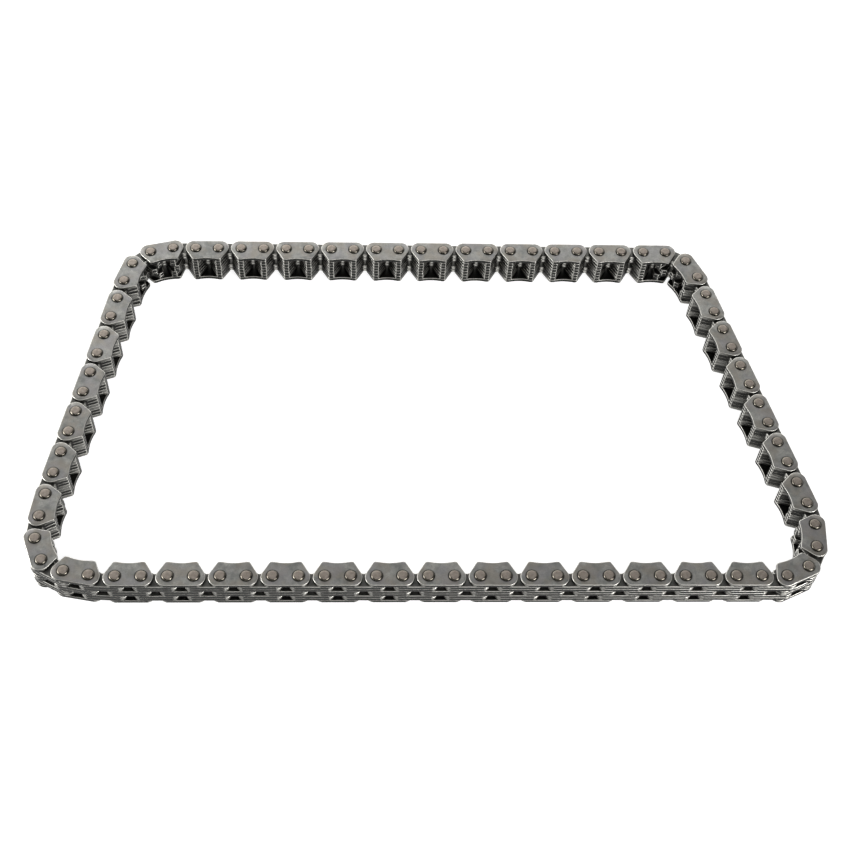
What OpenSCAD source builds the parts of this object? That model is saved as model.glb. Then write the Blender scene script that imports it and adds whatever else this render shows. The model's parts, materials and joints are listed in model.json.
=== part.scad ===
// Inverted-tooth oil pump chain: an endless loop of punched steel plates on
// riveted pins, lying on its side with the teeth pointing into the loop.
// A guide link holds its two pins in a pair of guide plates, with two toothed
// plates between them. An inner link is four toothed plates that turn freely
// on the pins of the guide links before and behind it.

/* [Chain] */
// Distance between neighbouring pins
pitch = 6.35; // [6.2:0.05:8]
// Straight links in the front run
front_links = 25; // [21:2:29]
// Straight links in the back run
back_links = 22; // [20:2:26]
// Straight links in the left side
left_links = 11; // [9:2:15]
// Straight links in the right side
right_links = 12; // [10:2:16]
// Pairs of links that flex together in each run
flex_pairs = 8; // [2:1:8]

/* [Bends] */
// Headings of the links round the front left bend, anticlockwise from +X
front_left_turn = [177, 169.5, 152, 110.5, 87.5, 83];
// Headings of the links round the back left bend
back_left_turn = [73.5, 42.5, 14];
// Headings of the links round the back right bend
back_right_turn = [-30, -65];
// Headings of the links round the front right bend
front_right_turn = [-81, -95.5, -118, -155.5, -180];

/* [Plates] */
// Thickness of a guide plate
guide_t = 1; // [0.8:0.05:1.4]
// Thickness of a toothed plate
tooth_t = 1.15; // [0.9:0.05:1.5]
// Space between neighbouring plates on a pin
plate_gap = 0.04; // [0.02:0.01:0.1]
// Space between the round ends of two plates in one layer
end_gap = 0.55; // [0.4:0.05:1]
// How far the middle of a round end lies beyond its pin
lobe_out = 0.45; // [0.3:0.05:0.6]
// How far the middle of a round end lies behind the pin line
lobe_drop = 0.3; // [0.1:0.05:0.4]
// Height cut off the round ends to make the straight back
back_cut = 0.03; // [0.02:0.01:0.2]
// Height of the teeth from the pin line
tooth_h = 4; // [3.6:0.1:4.4]
// Slope of the outer tooth flank from square to the chain
flank = 31.5; // [29:0.5:32]
// Radius at the tips of the teeth
tip_r = 0.4; // [0.2:0.05:0.5]
// Depth of the shallow curve in a guide plate's inner edge
dip_depth = 0.36; // [0.1:0.02:0.6]
// Width of that curve
dip_w = 6; // [4:0.1:7]
// Radius at the root of the crotch between the two teeth
crotch_r = 1.5; // [1.2:0.05:1.7]
// Distance from the pin line to the root of the crotch
crotch_root = 0.95; // [0.7:0.05:1.3]

/* [Pins] */
// Diameter of a pin between its heads
pin_d = 2.5; // [2:0.05:2.8]
// Radial clearance of a toothed plate on its pins
running_gap = 0.04; // [0.02:0.01:0.08]
// Radial clearance of a guide plate on its riveted pins
seat_gap = 0.01; // [0.01:0.005:0.02]
// How far a riveted head is wider than its pin, on each side
head_lip = 0.2; // [0.1:0.01:0.3]
// Height of a riveted head, and the radius of its shoulder
head_h = 0.45; // [0.3:0.05:0.6]

/* [Hidden] */
LINK_TYPES = ["guide_links", "inner_links", "pins"];
ARM_PARTS = ["guide_link_", "pins_"];
$fn = 48;
// Facets of the wide, shallow curve in a guide plate's inner edge
DIP_FACETS = 96;
// How far the corners of an outline lie inside the rounds they run into
TUCK = 0.002;
STEEL = "#8a8b88";
DARK_STEEL = "#767673";
PIN_STEEL = "#8d7f76";
// Levels of the toothed plates in the stack, from the bottom: a guide link's and an inner link's
CENTRE_LEVELS = [2, 3];
OUTER_LEVELS = [0, 1, 4, 5];
// Straight links left at the ends of a run before its flexing links begin
RUN_MARGIN = 2;

function unit(angle) = [cos(angle), sin(angle)];
function sum(list, i = 0) = i < len(list) - 1 ? list[i] + sum(list, i + 1) : list[i];
function repeat(value, count) = [for (i = [1:count]) value];
function odd_from(i) = i % 2 == 1 ? i : i + 1;

// The two straight sides close the loop: a triangle of their lengths and what is left to cover
bends = concat(front_left_turn, back_left_turn, back_right_turn, front_right_turn);
to_close = [front_links - back_links, 0] - sum([for (a = bends) unit(a)]);
close_len = norm(to_close);
close_heading = atan2(to_close.y, to_close.x);
left_heading = close_heading
    + acos((pow(left_links, 2) + pow(close_len, 2) - pow(right_links, 2)) / (2 * left_links * close_len));
right_heading = close_heading
    - acos((pow(right_links, 2) + pow(close_len, 2) - pow(left_links, 2)) / (2 * right_links * close_len));

// Heading of every link, clockwise round the loop from the right end of the front run
headings = concat(
    repeat(180, front_links), front_left_turn,
    repeat(left_heading, left_links), back_left_turn,
    repeat(0, back_links), back_right_turn,
    repeat(right_heading, right_links), front_right_turn
);
links = len(headings);
path = [for (i = 0, p = [0, 0]; i < links; p = p + pitch * unit(headings[i]), i = i + 1) p];
link_middle = [for (i = [0:links - 1]) path[i] + pitch / 2 * unit(headings[i])];

// Even links are guide links. Each run's flexing links start and end with an inner link.
run_links = 2 * flex_pairs + 1;
front_first = odd_from(RUN_MARGIN);
front_last = front_first + run_links - 1;
back_start = front_links + len(front_left_turn) + left_links + len(back_left_turn);
back_first = odd_from(back_start + RUN_MARGIN);
back_last = back_first + run_links - 1;

// Plate outline, drawn about the middle of the link with the teeth towards +Y
lobe_r = (pitch - end_gap) / 2 - lobe_out;
lobe = [pitch / 2 + lobe_out, -lobe_drop];
back_angle = asin(1 - back_cut / lobe_r);
back_corner = lobe + lobe_r * unit(-back_angle);
back_h = -back_corner.y;
flank_dir = unit(flank);
flank_start = lobe + (lobe_r - TUCK) * flank_dir;
tip_y = tooth_h - tip_r;
outer_tip = [lobe.x + (lobe_r - tip_r - sin(flank) * (tip_y - lobe.y)) / cos(flank), tip_y];
flank_end = outer_tip + (tip_r - TUCK) * flank_dir;
edge_y = tooth_h - TUCK;
crotch_y = crotch_root + crotch_r;
crotch_dir = [cos(flank), -sin(flank)];
inner_tip = [(crotch_r + tip_r + sin(flank) * (tip_y - crotch_y)) / cos(flank), tip_y];
crotch_start = inner_tip - (tip_r - TUCK) * crotch_dir;
crotch_end = [0, crotch_y] + (crotch_r - TUCK) * crotch_dir;
dip_r = (pow(dip_w / 2, 2) + pow(dip_depth, 2)) / (2 * dip_depth);

// Levels of the stack, from the flat ends of the pins at z = 0
first_tooth_z = head_h + guide_t + plate_gap;
tooth_step = tooth_t + plate_gap;
top_guide_z = first_tooth_z + (len(CENTRE_LEVELS) + len(OUTER_LEVELS)) * tooth_step;
stack_top = top_guide_z + guide_t;

// The farthest that an outline reaches from its middle, in a direction on its right-hand half
function outline_reach(angle) =
    angle < -back_angle ? back_corner * unit(angle)
    : angle <= flank ? lobe * unit(angle) + lobe_r
    : outer_tip * unit(angle) + tip_r;
function signed(angle) = angle - 360 * round(angle / 360);
function folded(angle) = abs(angle) <= 90 ? angle : sign(angle) * 180 - angle;
function link_reach(i, angle) =
    link_middle[i] * unit(angle) + outline_reach(folded(signed(angle - headings[i] + 180)));
function loop_reach(angle) = max([for (i = [0:links - 1]) link_reach(i, angle)]);
centre = [loop_reach(0) - loop_reach(180), loop_reach(90) - loop_reach(270)] / 2;

function flip(point) = [-point.x, point.y];
function flipped(points) = [for (i = [len(points) - 1:-1:0]) flip(points[i])];

module both_sides() {
    children();
    mirror([1, 0]) children();
}

// The two round ends, cut straight along the back, with a given inner edge between the flanks
module plate_outline(inner_edge) {
    half = concat([[lobe.x, -back_h], flank_start, flank_end, [outer_tip.x, edge_y]], inner_edge);
    polygon(concat(half, flipped(half)));
    both_sides() {
        translate(outer_tip) circle(tip_r);
        intersection() {
            translate(lobe) circle(lobe_r);
            translate([0, -back_h]) square([pitch, back_h + lobe_r]);
        }
    }
}

module pin_holes(gap) {
    both_sides() translate([pitch / 2, 0]) circle(pin_d / 2 + gap);
}

module guide_plate() {
    color(STEEL) linear_extrude(guide_t) difference() {
        plate_outline([]);
        translate([0, tooth_h - dip_depth + dip_r]) circle(dip_r, $fn = DIP_FACETS);
        pin_holes(seat_gap);
    }
}

module toothed_plate() {
    color(DARK_STEEL) linear_extrude(tooth_t) difference() {
        union() {
            plate_outline([[inner_tip.x, edge_y], crotch_start, crotch_end]);
            both_sides() translate(inner_tip) circle(tip_r);
        }
        translate([0, crotch_y]) circle(crotch_r);
        pin_holes(running_gap);
    }
}

module toothed_plates(levels) {
    for (i = levels) translate([0, 0, first_tooth_z + i * tooth_step]) toothed_plate();
}

module guide_link() {
    for (z = [head_h, top_guide_z]) translate([0, 0, z]) guide_plate();
    toothed_plates(CENTRE_LEVELS);
}

module inner_link() {
    toothed_plates(OUTER_LEVELS);
}

// A riveted head: flat on top, with a round shoulder down to the guide plate
module rivet_head() {
    flat_r = pin_d / 2 + head_lip - head_h;
    rotate_extrude() {
        square([flat_r, head_h]);
        intersection() {
            translate([flat_r, 0]) circle(head_h);
            translate([flat_r, 0]) square(head_h);
        }
    }
}

module pin() {
    color(PIN_STEEL) {
        translate([0, 0, head_h]) cylinder(h = stack_top - head_h, d = pin_d);
        translate([0, 0, stack_top]) rivet_head();
        translate([0, 0, head_h]) mirror([0, 0, 1]) rivet_head();
    }
}

module pin_pair() {
    for (x = [-pitch / 2, pitch / 2]) translate([x, 0, 0]) pin();
}

// Places a link that is drawn about its own middle, with its teeth into the loop
module at_link(i) {
    turned = (i + links) % links;
    translate(link_middle[turned] - centre) rotate(headings[turned] - 180) children();
}

module links_between(first, last) {
    for (i = [first:2:last]) at_link(i) children();
}

// The bends: the left one from the front run to the back run, the right one from back to front
module left_guides() { links_between(front_last + 1, back_first - 1) children(); }
module left_inners() { links_between(front_last + 2, back_first - 2) children(); }
module right_guides() { links_between(back_last + 1, links + front_first - 1) children(); }
module right_inners() { links_between(back_last + 2, links + front_first - 2) children(); }

// The n-th guide link and inner link of a run, counted from the left
module front_guide(n) { at_link(front_last + 1 - 2 * n) children(); }
module front_inner(n) { at_link(front_last + 2 - 2 * n) children(); }
module back_guide(n) { at_link(back_first - 1 + 2 * n) children(); }
module back_inner(n) { at_link(back_first - 2 + 2 * n) children(); }

module left_bend_guide_links() { left_guides() guide_link(); }
module left_bend_inner_links() { left_inners() inner_link(); }
module left_bend_pins() { left_guides() pin_pair(); }
module right_bend_guide_links() { right_guides() guide_link(); }
module right_bend_inner_links() { right_inners() inner_link(); }
module right_bend_pins() { right_guides() pin_pair(); }

left_bend_guide_links();
left_bend_inner_links();
left_bend_pins();
right_bend_guide_links();
right_bend_inner_links();
right_bend_pins();
for (n = [1:flex_pairs]) {
    front_guide(n) guide_link();
    front_guide(n) pin_pair();
    back_guide(n) guide_link();
    back_guide(n) pin_pair();
}
for (n = [1:flex_pairs + 1]) {
    front_inner(n) inner_link();
    back_inner(n) inner_link();
}
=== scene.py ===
import json
import math
import random

import bpy
import numpy as np
from mathutils import Matrix, Vector
from mathutils.geometry import tessellate_polygon


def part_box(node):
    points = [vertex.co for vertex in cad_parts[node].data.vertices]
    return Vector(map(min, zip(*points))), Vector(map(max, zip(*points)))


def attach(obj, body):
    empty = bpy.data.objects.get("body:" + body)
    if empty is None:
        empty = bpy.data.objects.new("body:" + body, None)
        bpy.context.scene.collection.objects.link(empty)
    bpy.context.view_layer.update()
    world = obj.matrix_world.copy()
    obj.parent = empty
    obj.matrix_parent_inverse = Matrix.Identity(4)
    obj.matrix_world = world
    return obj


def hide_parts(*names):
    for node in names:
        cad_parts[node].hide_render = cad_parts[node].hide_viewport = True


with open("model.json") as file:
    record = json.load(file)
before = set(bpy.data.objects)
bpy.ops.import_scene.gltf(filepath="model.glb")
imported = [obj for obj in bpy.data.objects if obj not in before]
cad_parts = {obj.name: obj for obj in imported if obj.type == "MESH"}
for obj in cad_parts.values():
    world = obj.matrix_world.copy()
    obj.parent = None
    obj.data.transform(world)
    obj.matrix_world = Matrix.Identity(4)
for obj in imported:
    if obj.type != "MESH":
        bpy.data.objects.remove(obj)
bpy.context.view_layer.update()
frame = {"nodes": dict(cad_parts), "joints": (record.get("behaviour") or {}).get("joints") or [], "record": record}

record = frame["record"]

# Plate and pin details, with lengths in metres and angles in degrees.
# The pitch, heights and thicknesses come from the frame.
MM = 0.001
FLANK = 31.5
LOBE_OUT = 0.45 * MM
LOBE_DROP = 0.3 * MM
TOOTH_TIP_R = 0.4 * MM
GUIDE_TIP_R = 0.62 * MM
DIP_DEPTH = 0.36 * MM
DIP_W = 6 * MM
CROTCH_R = 1.5 * MM
CROTCH_ROOT = 1.25 * MM
HOLE_R = 1.27 * MM
# Reach of the oil and painted shade round each pin
OIL_AND_SHADE_R = 1.8 * MM
GUIDE_ROLL = 0.2 * MM
TOOTH_ROLL = 0.24 * MM
HEAD_H = 0.45 * MM
HEAD_FLAT_R = 1.005 * MM
SHANK_R = 1.25 * MM

# Where the grime and painted shade on a pin's shoulder begin and how far they take to full, as shares of the head
GRIME_AND_SHADE_START = 0.35
GRIME_AND_SHADE_BLEND = 0.3

# Fineness of the meshes: steps of arcs in degrees, sides of circles and rings of a rolled edge
ARC_STEP = 8
TIP_STEP = 15
DIP_STEP = 3
ROLL_STEPS = 3
SHOULDER_STEPS = 6
PIN_SIDES = 28
HOLE_SIDES = 16

# Edges sharper than this many degrees are shaded as edges
SHARP = 50

# Corners of the CAD meshes closer than this are one corner, in metres
WELD = 1e-7

SEED = 7

# Wear and painted highlights along the rounds of an outline, on the tooth tips, the lobes and the crotch bottoms,
# as pairs of an angle in degrees and a share from 0 to 1
WEAR_AND_HIGHLIGHT = {
    "lobe": ((-80, 0), (-72, 0.6), (-54, 0.6), (-46, 0), (-8, 0), (0, 0.6), (8, 0.6), (16, 0.2)),
    "outer tip": ((31, 0.45), (45, 1), (62, 1), (76, 0.2), (90, 0)),
    "inner tip": ((90, 0), (104, 0.2), (118, 1), (135, 1), (149, 0)),
    "crotch": ((-90, 1), (-80, 1), (-70, 0)),
}
# Painted shade deep in the inside of a link, in the same way
DEEP_SHADE_ZONES = {
    "crotch": ((-90, 0), (-78, 0), (-66, 1), (-50, 1), (-31, 0.5)),
}


def joint_xy(name):
    joint = next(j for j in frame["joints"] if j["name"] == name)
    return np.array(joint["pos_m"][:2])


first_pin = joint_xy("front_run_swing")
second_pin = joint_xy("front_flex_1")
PITCH = float(np.linalg.norm(second_pin - first_pin))
guide_low, guide_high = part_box("front_guide_link_1")
LOBE_R = (guide_high.x - guide_low.x - PITCH) / 2 - LOBE_OUT
LOBE = (PITCH / 2 + LOBE_OUT, -LOBE_DROP)
BACK_H = float(first_pin[1]) - guide_low.y
TOOTH_H = guide_high.y - float(first_pin[1])


# Outlines, anticlockwise about the middle of the link, with the teeth towards +Y

def arc(centre, radius, start, end, step=ARC_STEP):
    """Points on an arc from one angle to another, in degrees, both ends included."""
    count = max(1, math.ceil(abs(end - start) / step))
    angles = [math.radians(start + (end - start) * i / count) for i in range(count + 1)]
    return [(centre[0] + radius * math.cos(a), centre[1] + radius * math.sin(a)) for a in angles]


def rounded(zone, centre, radius, start, end, step=ARC_STEP):
    """An arc's points, each with its wear and painted highlight and its painted shade deep in the link."""
    points = arc(centre, radius, start, end, step)
    angles = np.linspace(start, end, len(points))
    wear_and_highlight = np.interp(angles, *zip(*WEAR_AND_HIGHLIGHT[zone])) if zone in WEAR_AND_HIGHLIGHT else 0 * angles
    deep = np.interp(angles, *zip(*DEEP_SHADE_ZONES[zone])) if zone in DEEP_SHADE_ZONES else 0 * angles
    return [(x, y, w, d) for (x, y), w, d in zip(points, wear_and_highlight, deep)]


def right_half(toothed):
    """The right half of a plate's outline, from its straight back to its middle."""
    slope = math.radians(FLANK)
    back_angle = math.degrees(math.asin((BACK_H - LOBE_DROP) / LOBE_R))
    tip_r = TOOTH_TIP_R if toothed else GUIDE_TIP_R
    tip_y = TOOTH_H - tip_r
    tip_x = LOBE[0] + (LOBE_R - tip_r - math.sin(slope) * (tip_y - LOBE[1])) / math.cos(slope)
    rows = rounded("lobe", LOBE, LOBE_R, -back_angle, FLANK)
    rows += rounded("outer tip", (tip_x, tip_y), tip_r, FLANK, 90, TIP_STEP)
    if not toothed:
        dip_r = ((DIP_W / 2) ** 2 + DIP_DEPTH ** 2) / (2 * DIP_DEPTH)
        reach = math.degrees(math.asin(DIP_W / 2 / dip_r))
        dip_centre = (0, TOOTH_H - DIP_DEPTH + dip_r)
        return rows + rounded("dip", dip_centre, dip_r, reach - 90, -90, DIP_STEP)
    crotch_y = CROTCH_ROOT + CROTCH_R
    inner_x = (CROTCH_R + tip_r + math.sin(slope) * (tip_y - crotch_y)) / math.cos(slope)
    rows += rounded("inner tip", (inner_x, tip_y), tip_r, 90, 180 - FLANK, TIP_STEP)
    return rows + rounded("crotch", (0, crotch_y), CROTCH_R, -FLANK, -90)


def outline(toothed):
    """A closed outline, with the wear and painted highlight and the painted shade of each of its points."""
    rows = right_half(toothed)
    rows += [(-x, *rest) for x, *rest in reversed(rows[:-1])]
    table = np.array(rows)
    return table[:, :2], table[:, 2], table[:, 3]


def inset(loop, distance):
    """A closed outline moved inwards, towards the left of its direction."""
    before = loop - np.roll(loop, 1, axis=0)
    after = np.roll(loop, -1, axis=0) - loop
    before /= np.linalg.norm(before, axis=1)[:, None]
    after /= np.linalg.norm(after, axis=1)[:, None]
    left_before = np.stack([-before[:, 1], before[:, 0]], axis=1)
    left_after = np.stack([-after[:, 1], after[:, 0]], axis=1)
    middle = left_before + left_after
    return loop + distance * middle * 2 / (middle ** 2).sum(axis=1)[:, None]


# Shapes. Every vertex carries some numbers from 0 to 1 that its material reads: height in the
# plate, edge for how far round its rolled edge, wear with painted highlights, painted shade deep in
# the link, oil with painted shade, painted shade on toothed plates, and a random tint for the whole solid.

MARKS = ("height", "edge", "wear_and_highlight", "deep", "oil", "recess_shade")


class Shape:
    """Vertices and faces, with the marks of each vertex."""

    def __init__(self, recess_shade=0.0):
        self.points, self.faces, self.recess_shade = [], [], recess_shade
        self.marks = {name: [] for name in MARKS}

    def ring(self, loop, z, **marks):
        """Adds a closed loop of vertices at one level and returns their numbers."""
        start = len(self.points)
        self.points += [(x, y, z) for x, y in loop]
        # Painted shade for the faces of toothed plates
        marks["recess_shade"] = self.recess_shade
        for name, values in self.marks.items():
            values += np.broadcast_to(marks.get(name, 0), len(loop)).tolist()
        return list(range(start, start + len(loop)))

    def band(self, low, high):
        """Faces between two rings of the same length."""
        count = len(low)
        for i in range(count):
            j = (i + 1) % count
            self.faces.append((low[i], low[j], high[j], high[i]))


def wall(shape, toothed, thickness, roll, oily_z):
    """The edge of a plate round its outline, rounded at both faces. Returns its end rings."""
    loop, wear_and_highlight, deep = outline(toothed)
    turns = [math.pi / 2 * i / ROLL_STEPS for i in range(ROLL_STEPS + 1)]
    levels = [(roll * (1 - math.sin(a)), roll * (1 - math.cos(a))) for a in turns]
    levels += [(d, thickness - z) for d, z in reversed(levels)]
    rings = []
    for depth, z in levels:
        marks = {"height": z / thickness, "edge": 1 - depth / roll, "wear_and_highlight": wear_and_highlight, "deep": deep}
        rings.append(shape.ring(inset(loop, depth), z, oil=float(z == oily_z), **marks))
    for low, high in zip(rings, rings[1:]):
        shape.band(low, high)
    return rings[0], rings[-1]


def circle(x, radius, sides):
    """A clockwise circle about a point on the pin line."""
    return arc((x, 0), radius, 360, 0, step=360 / sides)[:-1]


def cap(shape, rings, upwards):
    """The flat face of a plate between its outline and its holes."""
    loops = [[Vector(shape.points[i]) for i in ring] for ring in rings]
    order = [i for ring in rings for i in ring]
    for triangle in tessellate_polygon(loops):
        corners = [order[i] for i in triangle]
        a, b, c = (Vector(shape.points[i]) for i in corners)
        if ((b - a).cross(c - a).z > 0) != upwards:
            corners.reverse()
        shape.faces.append(tuple(corners))


def plate(toothed, thickness, oily_z=None):
    """One punched plate with two pin holes on z = 0, with oil and painted shade on its face at one level and round
    the pins.
    """
    shape = Shape(recess_shade=float(toothed))
    roll = TOOTH_ROLL if toothed else GUIDE_ROLL
    low_ring, high_ring = wall(shape, toothed, thickness, roll, oily_z)
    corner_r = HOLE_R / math.cos(math.pi / HOLE_SIDES)
    rims = {0: [low_ring], thickness: [high_ring]}
    for x in (-PITCH / 2, PITCH / 2):
        hole = circle(x, corner_r, HOLE_SIDES)
        # Painted shade in the holes
        shape.band(*(shape.ring(hole, z, edge=1, deep=1) for z in rims))
        for z, rings in rims.items():
            # Oil and painted shade round each pin, and over the whole face at one level
            clean = shape.ring(circle(x, OIL_AND_SHADE_R, HOLE_SIDES), z, oil=float(z == oily_z))
            near_pin = shape.ring(hole, z, oil=1)
            if z > 0:
                shape.band(near_pin, clean)
            else:
                shape.band(clean, near_pin)
            rings.append(clean)
    for z, rings in rims.items():
        cap(shape, rings, upwards=z > 0)
    return shape


def rivet(height):
    """One pin with a riveted head at both ends, standing on z = 0."""
    turns = [math.pi / 2 * i / SHOULDER_STEPS for i in range(SHOULDER_STEPS + 1)]
    low = [(HEAD_FLAT_R / 2, 0)]
    low += [(HEAD_FLAT_R + HEAD_H * math.sin(a), HEAD_H * (1 - math.cos(a))) for a in turns]
    low.append((SHANK_R, HEAD_H))
    profile = low + [(r, height - z) for r, z in reversed(low)]
    shape = Shape()
    spin = [2 * math.pi * i / PIN_SIDES for i in range(PIN_SIDES)]
    rings = []
    for radius, z in profile:
        loop = [(radius * math.cos(a), radius * math.sin(a)) for a in spin]
        down = min(z, height - z) / HEAD_H
        # Grime and painted shade darken the shoulder towards the plate
        grime_and_shade = min(1, max(0, (down - GRIME_AND_SHADE_START) / GRIME_AND_SHADE_BLEND))
        rings.append(shape.ring(loop, z, edge=float(radius > HEAD_FLAT_R), deep=grime_and_shade))
    for lower, upper in zip(rings, rings[1:]):
        shape.band(lower, upper)
    shape.faces.append(tuple(reversed(rings[0])))
    shape.faces.append(tuple(rings[-1]))
    return shape


# Where the solids of the frame are

def solids(node):
    """The lowest and highest corners of every separate solid in a CAD node."""
    mesh = frame["nodes"][node].data
    points = np.empty(len(mesh.vertices) * 3, np.float32)
    mesh.vertices.foreach_get("co", points)
    points = points.reshape(-1, 3).astype(float)
    edges = np.empty(len(mesh.edges) * 2, np.int32)
    mesh.edges.foreach_get("vertices", edges)
    grid = np.round(points / WELD).astype(np.int64)
    _, weld = np.unique(grid, axis=0, return_inverse=True)
    pairs = weld.reshape(-1)[edges].reshape(-1, 2)
    group = np.arange(weld.max() + 1)
    while True:
        lowest = np.minimum(group[pairs[:, 0]], group[pairs[:, 1]])
        merged = group.copy()
        np.minimum.at(merged, pairs[:, 0], lowest)
        np.minimum.at(merged, pairs[:, 1], lowest)
        merged = merged[merged]
        if (merged == group).all():
            break
        group = merged
    labels = group[weld.reshape(-1)]
    return [(points[labels == g].min(0), points[labels == g].max(0)) for g in np.unique(labels)]


def find_pins():
    centres = []
    for node in frame["nodes"]:
        if "pins" in node:
            centres += [(low + high)[:2] / 2 for low, high in solids(node)]
    return np.array(centres)


pins = find_pins()


def plate_place(low, high):
    """Turns and moves a plate's shape to the two pins that it hangs on, teeth into the loop."""
    middle = (low + high)[:2] / 2
    nearest = np.argsort(np.linalg.norm(pins - middle, axis=1))[:2]
    first, second = pins[nearest]
    centre = (first + second) / 2
    along = (second - first) / np.linalg.norm(second - first)
    inward = np.array([-along[1], along[0]])
    if inward @ centre > 0:
        along, inward = -along, -inward
    return np.array([along, inward]), np.array([centre[0], centre[1], low[2]])


def pin_place(low, high):
    """Turns a pin's shape at random and moves it to its place."""
    middle = (low + high) / 2
    angle = random.uniform(0, 2 * math.pi)
    turn = np.array([[math.cos(angle), math.sin(angle)], [-math.sin(angle), math.cos(angle)]])
    return turn, np.array([middle[0], middle[1], low[2]])


def build(name, places):
    """One mesh object from shapes and their places, with a random tint for each solid."""
    points, faces, tint, start = [], [], [], 0
    marks = {label: [] for label in MARKS}
    for shape, turn, shift in places:
        moved = np.array(shape.points)
        moved[:, :2] = moved[:, :2] @ turn
        points.append(moved + shift)
        faces += [tuple(i + start for i in face) for face in shape.faces]
        for label, values in shape.marks.items():
            marks[label] += values
        tint += [random.random()] * len(moved)
        start += len(moved)
    mesh = bpy.data.meshes.new(name)
    mesh.from_pydata(np.concatenate(points).tolist(), [], faces)
    for label, values in (*marks.items(), ("tint", tint)):
        mesh.attributes.new(label, "FLOAT", "POINT").data.foreach_set("value", values)
    mesh.polygons.foreach_set("use_smooth", [True] * len(mesh.polygons))
    mesh.set_sharp_from_angle(angle=math.radians(SHARP))
    piece = bpy.data.objects.new(name, mesh)
    bpy.context.scene.collection.objects.link(piece)
    normals = piece.modifiers.new("flat faces stay flat", "WEIGHTED_NORMAL")
    normals.keep_sharp = True
    return piece


# Node trees of materials and world

# The Mix node has a socket of the same name for every type, so its colour sockets go by number
COLOUR_A, COLOUR_B, COLOUR_RESULT = 6, 7, 2


class Nodes:
    """Short calls for the nodes that this scene uses, in the tree of a material or a world."""

    def __init__(self, owner):
        owner.use_nodes = True
        self.tree = owner.node_tree

    def add(self, kind, **settings):
        node = self.tree.nodes.new(kind)
        for name, value in settings.items():
            setattr(node, name, value)
        return node

    def put(self, value, socket):
        """Links a socket into another one, or sets it to a plain value."""
        if isinstance(value, bpy.types.NodeSocket):
            self.tree.links.new(value, socket)
        else:
            socket.default_value = value

    def attribute(self, name):
        return self.add("ShaderNodeAttribute", attribute_name=name).outputs["Fac"]

    def noise(self, scale, detail, stretch=(1, 1, 1), roughness=0.5):
        mapping = self.add("ShaderNodeMapping")
        mapping.inputs["Scale"].default_value = stretch
        self.put(self.add("ShaderNodeTexCoord").outputs["Object"], mapping.inputs["Vector"])
        node = self.add("ShaderNodeTexNoise")
        self.put(mapping.outputs["Vector"], node.inputs["Vector"])
        node.inputs["Scale"].default_value = scale
        node.inputs["Detail"].default_value = detail
        node.inputs["Roughness"].default_value = roughness
        return node.outputs["Fac"]

    def spread(self, value, low, high, to_low=0, to_high=1, kind="LINEAR"):
        """A number brought from one range to another, and kept within it."""
        node = self.add("ShaderNodeMapRange", interpolation_type=kind)
        self.put(value, node.inputs["Value"])
        limits = {"From Min": low, "From Max": high, "To Min": to_low, "To Max": to_high}
        for label, number in limits.items():
            node.inputs[label].default_value = number
        return node.outputs["Result"]

    def ramp(self, *limits):
        """The same with soft ends."""
        return self.spread(*limits, kind="SMOOTHSTEP")

    def math(self, operation, a, b):
        node = self.add("ShaderNodeMath", operation=operation)
        self.put(a, node.inputs[0])
        self.put(b, node.inputs[1])
        return node.outputs[0]

    def mix(self, factor, a, b):
        """A blend of two numbers."""
        node = self.add("ShaderNodeMix")
        self.put(factor, node.inputs["Factor"])
        self.put(a, node.inputs["A"])
        self.put(b, node.inputs["B"])
        return node.outputs["Result"]

    def tone(self, factor, a, b):
        """A blend of two colours."""
        node = self.add("ShaderNodeMix", data_type="RGBA")
        self.put(factor, node.inputs["Factor"])
        self.put(a, node.inputs[COLOUR_A])
        self.put(b, node.inputs[COLOUR_B])
        return node.outputs[COLOUR_RESULT]

    def bump(self, value, strength, distance):
        node = self.add("ShaderNodeBump")
        node.inputs["Strength"].default_value = strength
        node.inputs["Distance"].default_value = distance
        self.put(value, node.inputs["Height"])
        return node.outputs["Normal"]

    def background_ray(self):
        """1 for rays that should see the plain white background."""
        path = self.add("ShaderNodeLightPath").outputs
        seen = self.math("MAXIMUM", path["Is Camera Ray"], path["Is Glossy Ray"])
        return self.math("MAXIMUM", seen, path["Is Transmission Ray"])


# Steel

STEEL_TINT = (1.01, 1.0, 0.935)


def grey(level, warmth=0.0):
    """The steel's own slightly yellow grey at a level, made warmer or colder."""
    r, g, b = STEEL_TINT
    return (level * r * (1 + warmth), level * g, level * b * (1 - warmth), 1)


# The faces of guide plates, with their clouds and specks
FACE = 0.47
FACE_DARK = grey(FACE * 0.66, -0.03)
FACE_LIGHT = grey(FACE * 1.34)
FACE_BROWN = grey(FACE * 0.9, 0.1)
FACE_LILAC = (FACE, FACE * 0.965, FACE, 1)
FACE_SPECK = grey(FACE * 0.7)
TINT_REACH = 0.35
BROWN_REACH = 0.6
LILAC_REACH = 0.5
SPECK_REACH = 0.5

# Painted shade on the faces of toothed plates, recessed between the guide plates, and oil with painted shade on
# any face
RECESS_SHADE = 0.19
RECESS_SHADE_DARK = grey(RECESS_SHADE * 0.7)
RECESS_SHADE_LIGHT = grey(RECESS_SHADE * 1.3)
# Oil and painted shade on the guide plates' inner faces and round the pins
OIL_AND_SHADE = grey(0.06)

# The plates' edges, rims and holes
WALL = 0.035
WALL_DARK = grey(WALL * 0.7, -0.01)
WALL_LIGHT = grey(WALL * 1.3, -0.01)
WALL_LOW = grey(WALL * 0.6, -0.01)
RIM_LOW = grey(WALL * 0.5, 0.02)
RIM_HIGH = grey(0.9, 0.01)
# Wear with a painted highlight on the walls of tips, lobe ends and crotch bottoms
WORN_HIGHLIGHT = grey(0.4, 0.01)
# Painted shade deep inside a link and in the holes
DEEP_SHADE = grey(0.02, 0.02)

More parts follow.
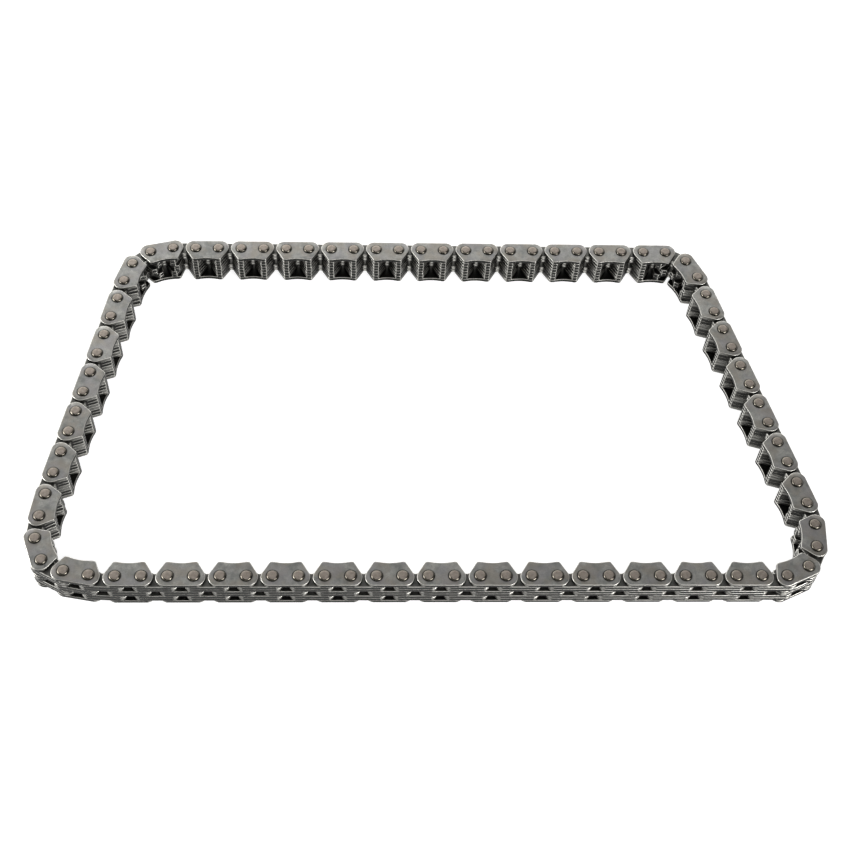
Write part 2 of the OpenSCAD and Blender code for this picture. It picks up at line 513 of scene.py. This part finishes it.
# Pin steel: the struck face in its dark, light and speckled parts, the shoulder, and grime with painted shade
# towards the plate
STRUCK_DARK = (0.395, 0.34, 0.29, 1)
STRUCK_LIGHT = (0.535, 0.47, 0.41, 1)
STRUCK_SPECK = (0.27, 0.225, 0.19, 1)
SHOULDER_DARK = (0.2, 0.18, 0.15, 1)
SHOULDER_LIGHT = (0.28, 0.255, 0.21, 1)
GRIME_AND_SHADE = (0.03, 0.026, 0.022, 1)

# Noise patterns: cycles to the metre, and the number of finer layers
CLOUD = (260, 4)
MOTTLE = (480, 8)
STREAK = (900, 2)
PIN_MOTTLE = (1300, 4)
FINE = (2600, 4)
PIN_FINE = (7000, 2)
MOTTLE_ROUGHNESS = 0.68
STREAK_STRETCH = (1, 1, 0.12)
MIRRORED = (-1, 1, 1)

# The parts of a noise's range over which a pattern goes from none to full
NOISE = (0.35, 0.65)
FINE_NOISE = (0.3, 0.7)
BROWN_CLOUDS = (0.45, 0.6)
LILAC_CLOUDS = (0.48, 0.62)
SPECKS = (0.45, 0.7)
PIN_SPECKS = (0.5, 0.8)

# The parts of height, edge, and oil with painted shade, over which one look gives way to the next
UPPER_HALF = (0.4, 0.6)
WEAR_AND_HIGHLIGHT_BEGINS = (0.12, 0.3)
WEAR_AND_HIGHLIGHT_ENDS = (0.75, 0.92)
RIM_BEGINS = (0.02, 0.2)
WALL_BEGINS = (0.6, 0.9)
WALL_ROUGH_BEGINS = (0.8, 1)
HOLE_BEGINS = (0, 0.1)
OIL_AND_SHADE_EDGE = (0, 0.5)

# Roughness, and the strength and depth of bumps
FACE_ROUGH = (0.3, 0.46)
WALL_ROUGH = (0.5, 0.28)
PIN_ROUGH = (0.36, 0.46)
SHOULDER_ROUGH = -0.2
PLATE_BUMP = (0.3, 0.02 * MM)
PIN_BUMP = (0.25, 0.015 * MM)


def face_colour(n, mottle, fine):
    """Mottled grey with brown and lilac clouds, in painted shade on toothed plates, and dark with oil and painted
    shade on inner faces and round the pins.
    """
    tint = n.spread(n.attribute("tint"), 0, 1, -TINT_REACH, TINT_REACH)
    shade = n.math("ADD", n.spread(mottle, *NOISE, -1, 1), tint)
    face = n.tone(n.spread(shade, -1, 1), FACE_DARK, FACE_LIGHT)
    brown = n.spread(n.noise(*CLOUD), *BROWN_CLOUDS, 0, BROWN_REACH)
    face = n.tone(brown, face, FACE_BROWN)
    lilac = n.spread(n.noise(*CLOUD, stretch=MIRRORED), *LILAC_CLOUDS, 0, LILAC_REACH)
    face = n.tone(lilac, face, FACE_LILAC)
    face = n.tone(n.spread(fine, *SPECKS, 0, SPECK_REACH), face, FACE_SPECK)
    # Painted shade on the faces of toothed plates, recessed between the guide plates
    recess_shade = n.tone(n.spread(mottle, *NOISE), RECESS_SHADE_DARK, RECESS_SHADE_LIGHT)
    face = n.tone(n.attribute("recess_shade"), face, recess_shade)
    # Oil and painted shade on the guide plates' inner faces and round the pins
    return n.tone(n.spread(n.attribute("oil"), *OIL_AND_SHADE_EDGE), face, OIL_AND_SHADE)


def wall_colour(n, height, wear_and_highlight):
    """Streaky and oily, darker in its lower half, which the cutting left rough, lighter where worn or given a
    painted highlight.
    """
    streak = n.spread(n.noise(*STREAK, stretch=STREAK_STRETCH), *NOISE)
    cut = n.tone(streak, WALL_DARK, WALL_LIGHT)
    colour = n.tone(n.spread(height, *UPPER_HALF, 1, 0), cut, WALL_LOW)
    return n.tone(wear_and_highlight, colour, WORN_HIGHLIGHT)


def plate_steel(name):
    """Tumbled punched steel: mottled faces, a bright upper rim, dark oily walls, worn ends with painted
    highlights, and painted shade deep in the link.
    """
    material = bpy.data.materials.new(name)
    n = Nodes(material)
    shader = n.tree.nodes["Principled BSDF"]
    mottle, fine = n.noise(*MOTTLE, roughness=MOTTLE_ROUGHNESS), n.noise(*FINE)
    height, edge = n.attribute("height"), n.attribute("edge")
    # Wear and painted highlights, only between the plate's two faces
    between = n.math("MULTIPLY", n.spread(height, *WEAR_AND_HIGHLIGHT_BEGINS), n.spread(height, *WEAR_AND_HIGHLIGHT_ENDS, 1, 0))
    wear_and_highlight = n.math("MULTIPLY", n.attribute("wear_and_highlight"), between)
    rim = n.tone(n.spread(height, *UPPER_HALF), RIM_LOW, RIM_HIGH)
    colour = n.tone(n.spread(edge, *RIM_BEGINS), face_colour(n, mottle, fine), rim)
    colour = n.tone(n.spread(edge, *WALL_BEGINS), colour, wall_colour(n, height, wear_and_highlight))
    # Painted shade deep in the crotch and in the holes, on the walls only
    deep = n.math("MULTIPLY", n.attribute("deep"), n.spread(edge, *HOLE_BEGINS))
    n.put(n.tone(deep, colour, DEEP_SHADE), shader.inputs["Base Color"])
    face_rough = n.spread(fine, *FINE_NOISE, *FACE_ROUGH)
    wall_rough = n.spread(wear_and_highlight, 0, 1, *WALL_ROUGH)
    rough = n.mix(n.spread(edge, *WALL_ROUGH_BEGINS), face_rough, wall_rough)
    n.put(rough, shader.inputs["Roughness"])
    n.put(n.bump(fine, *PLATE_BUMP), shader.inputs["Normal"])
    shader.inputs["Metallic"].default_value = 1
    return material


def pin_steel(name):
    """Pin steel with a warm tint, a duller struck face and a smoother shoulder, with grime and painted shade low
    on it where the head meets the plate.
    """
    material = bpy.data.materials.new(name)
    n = Nodes(material)
    shader = n.tree.nodes["Principled BSDF"]
    fine = n.noise(*PIN_FINE)
    struck = n.tone(n.spread(n.noise(*PIN_MOTTLE), *NOISE), STRUCK_DARK, STRUCK_LIGHT)
    struck = n.tone(n.spread(fine, *PIN_SPECKS, 0, SPECK_REACH), struck, STRUCK_SPECK)
    shoulder = n.tone(n.attribute("tint"), SHOULDER_DARK, SHOULDER_LIGHT)
    # Grime and painted shade low on the shoulder
    shoulder = n.tone(n.attribute("deep"), shoulder, GRIME_AND_SHADE)
    on_shoulder = n.attribute("edge")
    n.put(n.tone(on_shoulder, struck, shoulder), shader.inputs["Base Color"])
    smoother = n.math("MULTIPLY", on_shoulder, SHOULDER_ROUGH)
    rough = n.math("ADD", smoother, n.spread(fine, *FINE_NOISE, *PIN_ROUGH))
    n.put(rough, shader.inputs["Roughness"])
    n.put(n.bump(fine, *PIN_BUMP), shader.inputs["Normal"])
    shader.inputs["Metallic"].default_value = 1
    return material


MATERIALS = {
    "guide_steel": plate_steel("guide plate steel"),
    "toothed_steel": plate_steel("toothed plate steel"),
    "pin_steel": pin_steel("pin steel"),
}


# The chain: one piece for each CAD node, on the same pins and at the same levels

def thickness_of(box):
    return float(box[1][2] - box[0][2])


def make_chain():
    random.seed(SEED)
    tooth_t = min(thickness_of(b) for b in solids("front_inner_link_1"))
    guide_t = min(thickness_of(b) for b in solids("front_guide_link_1"))
    pin_h = thickness_of(solids("front_pins_1")[0])
    tooth, pin = plate(True, tooth_t), rivet(pin_h)
    # The guide plates' inner faces get oil and painted shade
    low_guide = plate(False, guide_t, oily_z=guide_t)
    high_guide = plate(False, guide_t, oily_z=0)
    thinnest_tooth = (tooth_t + guide_t) / 2
    slots = {row["node"]: row["material_slot"] for row in record["subparts"]}
    for body, nodes in record["behaviour"]["bodies"].items():
        for node in nodes:
            places = []
            for low, high in solids(node):
                if "pins" in node:
                    places.append((pin, *pin_place(low, high)))
                    continue
                guide = low_guide if low[2] < pin_h / 2 else high_guide
                shape = tooth if thickness_of((low, high)) > thinnest_tooth else guide
                places.append((shape, *plate_place(low, high)))
            piece = build(node + "_steel", places)
            piece.data.materials.append(MATERIALS[slots[node]])
            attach(piece, body)
            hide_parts(node)


make_chain()


# Floor, light and camera

FLOOR_SIZE = 6
FLOOR_WHITE = 0.6
FLOOR_LIFT = 0.85
FLOOR_ROUGH = 0.9
FLOOR_SHINE = 0.1

# Strength of the surroundings: low in front, high behind, overhead, near the ground as a share
# of the rest, and how much more at the left
WORLD_FRONT = 0.05
WORLD_BACK = 1.17
WORLD_ZENITH = 0.02
WORLD_LOW = 0.3
WORLD_LEFT = 0.95

# Where those give way to one another, along the unit vector towards the surroundings
FRONT_TO_BACK = (-0.3, 0.8)
GROUND_TO_WALLS = (0.15, 0.6)
WALLS_TO_ZENITH = (0.55, 0.97)
HORIZON_TO_WALLS = (0.08, 0.14)

# Name, azimuth from the front to the right and elevation in degrees, distance, width and height
# in metres, and radiance. The small ones in front of the large ones are for highlights.
SOFTBOXES = (
    ("left softbox", -86, 21, 0.7, 0.52, 0.44, 2.3),
    ("small left softbox", -86, 21, 0.68, 0.15, 0.15, 12),
    ("right softbox", 46, 28, 0.7, 0.52, 0.42, 2.7),
    ("small right softbox", 46, 28, 0.68, 0.15, 0.15, 13),
    ("back softbox", 180, 24, 0.9, 1.2, 0.3, 1.3),
    ("top softbox", 0, 80, 0.9, 0.6, 0.6, 0.9),
)

LENS = 61.746
SENSOR = 36
CAMERA_TARGET = Vector((-0.736, -7.664, 9.63)) * MM
CAMERA_DISTANCE = 380.834 * MM
CAMERA_ELEVATION = math.radians(56.534)
CAMERA_AZIMUTH = math.radians(4.73)
CAMERA_ROLL = math.radians(4.183)
CLIP_START = 10 * MM


def make_floor():
    """A plain floor, lifted to the white of the background for the rays that see it."""
    bpy.ops.mesh.primitive_plane_add(size=FLOOR_SIZE)
    floor = bpy.context.object
    floor.name = "floor"
    material = bpy.data.materials.new("white floor")
    n = Nodes(material)
    shader = n.tree.nodes["Principled BSDF"]
    shader.inputs["Base Color"].default_value = (FLOOR_WHITE, FLOOR_WHITE, FLOOR_WHITE, 1)
    shader.inputs["Roughness"].default_value = FLOOR_ROUGH
    shader.inputs["Specular IOR Level"].default_value = FLOOR_SHINE
    lift = n.add("ShaderNodeEmission")
    n.put(n.math("MULTIPLY", n.background_ray(), FLOOR_LIFT), lift.inputs["Strength"])
    total = n.add("ShaderNodeAddShader")
    n.put(shader.outputs[0], total.inputs[0])
    n.put(lift.outputs[0], total.inputs[1])
    n.put(total.outputs[0], n.tree.nodes["Material Output"].inputs["Surface"])
    floor.data.materials.append(material)


def make_world():
    """A plain studio: bright behind the chain, dim in front and overhead, white at the horizon."""
    world = bpy.data.worlds.new("studio")
    bpy.context.scene.world = world
    n = Nodes(world)
    split = n.add("ShaderNodeSeparateXYZ")
    n.put(n.add("ShaderNodeTexCoord").outputs["Generated"], split.inputs[0])
    x, y, z = split.outputs
    depth = n.ramp(y, *FRONT_TO_BACK, WORLD_FRONT, WORLD_BACK)
    walls = n.math("MULTIPLY", depth, n.ramp(z, *GROUND_TO_WALLS, WORLD_LOW, 1))
    level = n.mix(n.ramp(z, *WALLS_TO_ZENITH), walls, WORLD_ZENITH)
    level = n.math("MULTIPLY", level, n.spread(x, -1, 1, 1 + WORLD_LEFT, 1 - WORLD_LEFT))
    horizon = n.math("MULTIPLY", n.background_ray(), n.ramp(z, *HORIZON_TO_WALLS, 1, 0))
    background = n.tree.nodes["Background"]
    n.put(n.mix(horizon, level, 1), background.inputs["Strength"])
    background.inputs["Color"].default_value = (1, 1, 1, 1)


def make_softbox(name, azimuth, elevation, distance, width, height, radiance):
    """An area lamp aimed at the chain."""
    lamp = bpy.data.lights.new(name, "AREA")
    lamp.shape = "RECTANGLE"
    lamp.size, lamp.size_y = width, height
    lamp.energy = radiance * math.pi * width * height
    a, e = math.radians(azimuth), math.radians(elevation)
    away = Vector((math.sin(a) * math.cos(e), -math.cos(a) * math.cos(e), math.sin(e)))
    box = bpy.data.objects.new(name, lamp)
    box.location = away * distance
    box.rotation_mode = "QUATERNION"
    box.rotation_quaternion = away.to_track_quat("Z", "Y")
    bpy.context.scene.collection.objects.link(box)


def make_camera():
    """The camera that was fitted to the photo."""
    e, a, roll = CAMERA_ELEVATION, CAMERA_AZIMUTH, CAMERA_ROLL
    look = Vector((math.sin(a) * math.cos(e), math.cos(a) * math.cos(e), -math.sin(e)))
    right = Vector((math.cos(a), -math.sin(a), 0))
    up = right.cross(look)
    rolled_right = right * math.cos(roll) + up * math.sin(roll)
    rolled_up = up * math.cos(roll) - right * math.sin(roll)
    camera = bpy.data.objects.new("camera", bpy.data.cameras.new("camera"))
    camera.data.lens, camera.data.sensor_width = LENS, SENSOR
    camera.data.clip_start = CLIP_START
    axes = Matrix((rolled_right, rolled_up, -look)).transposed()
    camera.matrix_world = Matrix.Translation(CAMERA_TARGET - look * CAMERA_DISTANCE) @ axes.to_4x4()
    bpy.context.scene.collection.objects.link(camera)
    bpy.context.scene.camera = camera


make_floor()
make_world()
for softbox in SOFTBOXES:
    make_softbox(*softbox)
make_camera()
bpy.context.scene.view_settings.view_transform = "Standard"
